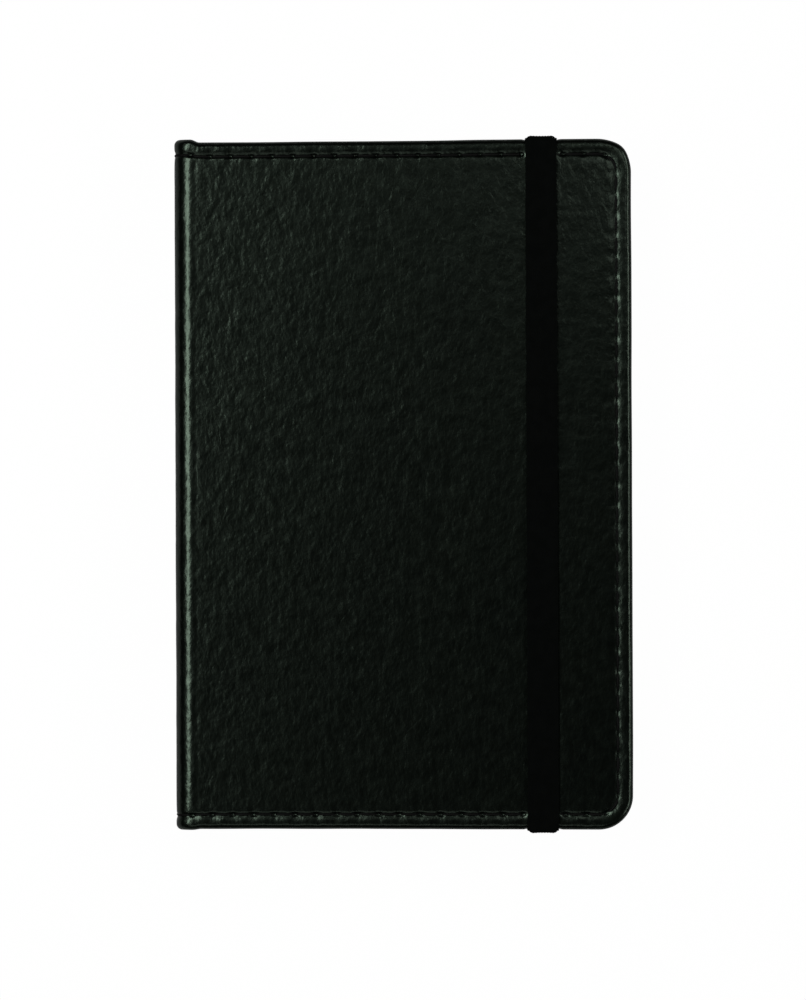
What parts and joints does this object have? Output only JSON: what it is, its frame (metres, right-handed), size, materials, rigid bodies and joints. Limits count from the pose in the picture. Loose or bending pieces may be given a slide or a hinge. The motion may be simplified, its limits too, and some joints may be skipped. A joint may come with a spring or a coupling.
{
  "type": "pocket notebook",
  "caption": "Pocket notebook with a stitched black leather hardcover, rounded corners, sewn pages and an elastic closure band.",
  "frame": {"origin": "middle of the back cover's outer face, which the closed notebook lies on", "axes": "+X from spine to fore edge, +Y from tail to head, +Z from back cover to front cover"},
  "size_m": [0.093, 0.142, 0.0156],
  "materials": {
    "cover_leather": "semi-gloss, fine grain",
    "seam_thread": "waxed twist",
    "cover_board": "matte",
    "endpaper": "matte",
    "page_paper": "matte",
    "spine_paper": "matte",
    "mull_cloth": "open weave",
    "sewing_thread": "matte",
    "headband_cloth": "striped weave",
    "elastic_webbing": "matte, fine ribs"
  },
  "bodies": {
    "back_cover": {"back_cover_leather": "cover_leather", "back_board": "cover_board", "back_border_stitching": "seam_thread", "back_endpaper": "endpaper", "signature_07": "page_paper", "signature_08": "page_paper", "signature_09": "page_paper", "signature_10": "page_paper", "signature_11": "page_paper", "signature_12": "page_paper", "elastic_head_anchor": "elastic_webbing", "elastic_tail_anchor": "elastic_webbing"},
    "spine": {"spine_leather": "cover_leather", "rear_joint_leather": "cover_leather", "front_joint_leather": "cover_leather", "spine_board": "cover_board", "spine_stitching": "seam_thread", "rear_joint_stitching": "seam_thread", "front_joint_stitching": "seam_thread", "spine_lining": "spine_paper", "spine_mull": "mull_cloth", "binding_thread": "sewing_thread", "head_band": "headband_cloth", "tail_band": "headband_cloth"},
    "front_cover": {"front_cover_leather": "cover_leather", "front_board": "cover_board", "front_border_stitching": "seam_thread", "front_endpaper": "endpaper", "signature_01": "page_paper", "signature_02": "page_paper", "signature_03": "page_paper", "signature_04": "page_paper", "signature_05": "page_paper", "signature_06": "page_paper"},
    "elastic_lower": {"elastic_lower_straps": "elastic_webbing"},
    "elastic_mid": {"elastic_side_straps": "elastic_webbing"},
    "elastic_front": {"elastic_front_run": "elastic_webbing"}
  },
  "joints": [
    {"name": "rear_joint", "type": "hinge", "parent": "back_cover", "child": "spine", "pos_m": [-0.0456, 0, 0.0009], "axis": [0, -1, 0], "range_deg": [0, 90], "deforming": ["rear_joint_leather", "rear_joint_stitching"]},
    {"name": "front_joint", "type": "hinge", "parent": "spine", "child": "front_cover", "pos_m": [-0.0456, 0, 0.01402], "axis": [0, -1, 0], "range_deg": [0, 90], "deforming": ["front_joint_leather", "front_joint_stitching"]},
    {"name": "elastic_swing", "type": "hinge", "parent": "back_cover", "child": "elastic_lower", "pos_m": [0.0282, 0, 0.002], "axis": [0, 1, 0], "range_deg": [0, 56], "deforming": ["elastic_lower_straps"]},
    {"name": "elastic_pull", "type": "slide", "parent": "elastic_lower", "child": "elastic_mid", "axis": [0, 0, 1], "range_m": [0, 0.0111], "stiffness_N_per_m": 60, "deforming": ["elastic_side_straps"]},
    {"name": "elastic_contract", "type": "slide", "parent": "elastic_mid", "child": "elastic_front", "axis": [0, 0, -1], "range_m": [0, 0.0072], "deforming": ["elastic_front_run"]}
  ],
  "couplings": [
    {"joint": "front_joint", "follows": "rear_joint", "ratio": 1},
    {"joint": "elastic_swing", "follows": "elastic_pull", "rad_per_m": 88.053},
    {"joint": "elastic_contract", "follows": "rear_joint", "m_per_rad": 0.0045837}
  ]
}
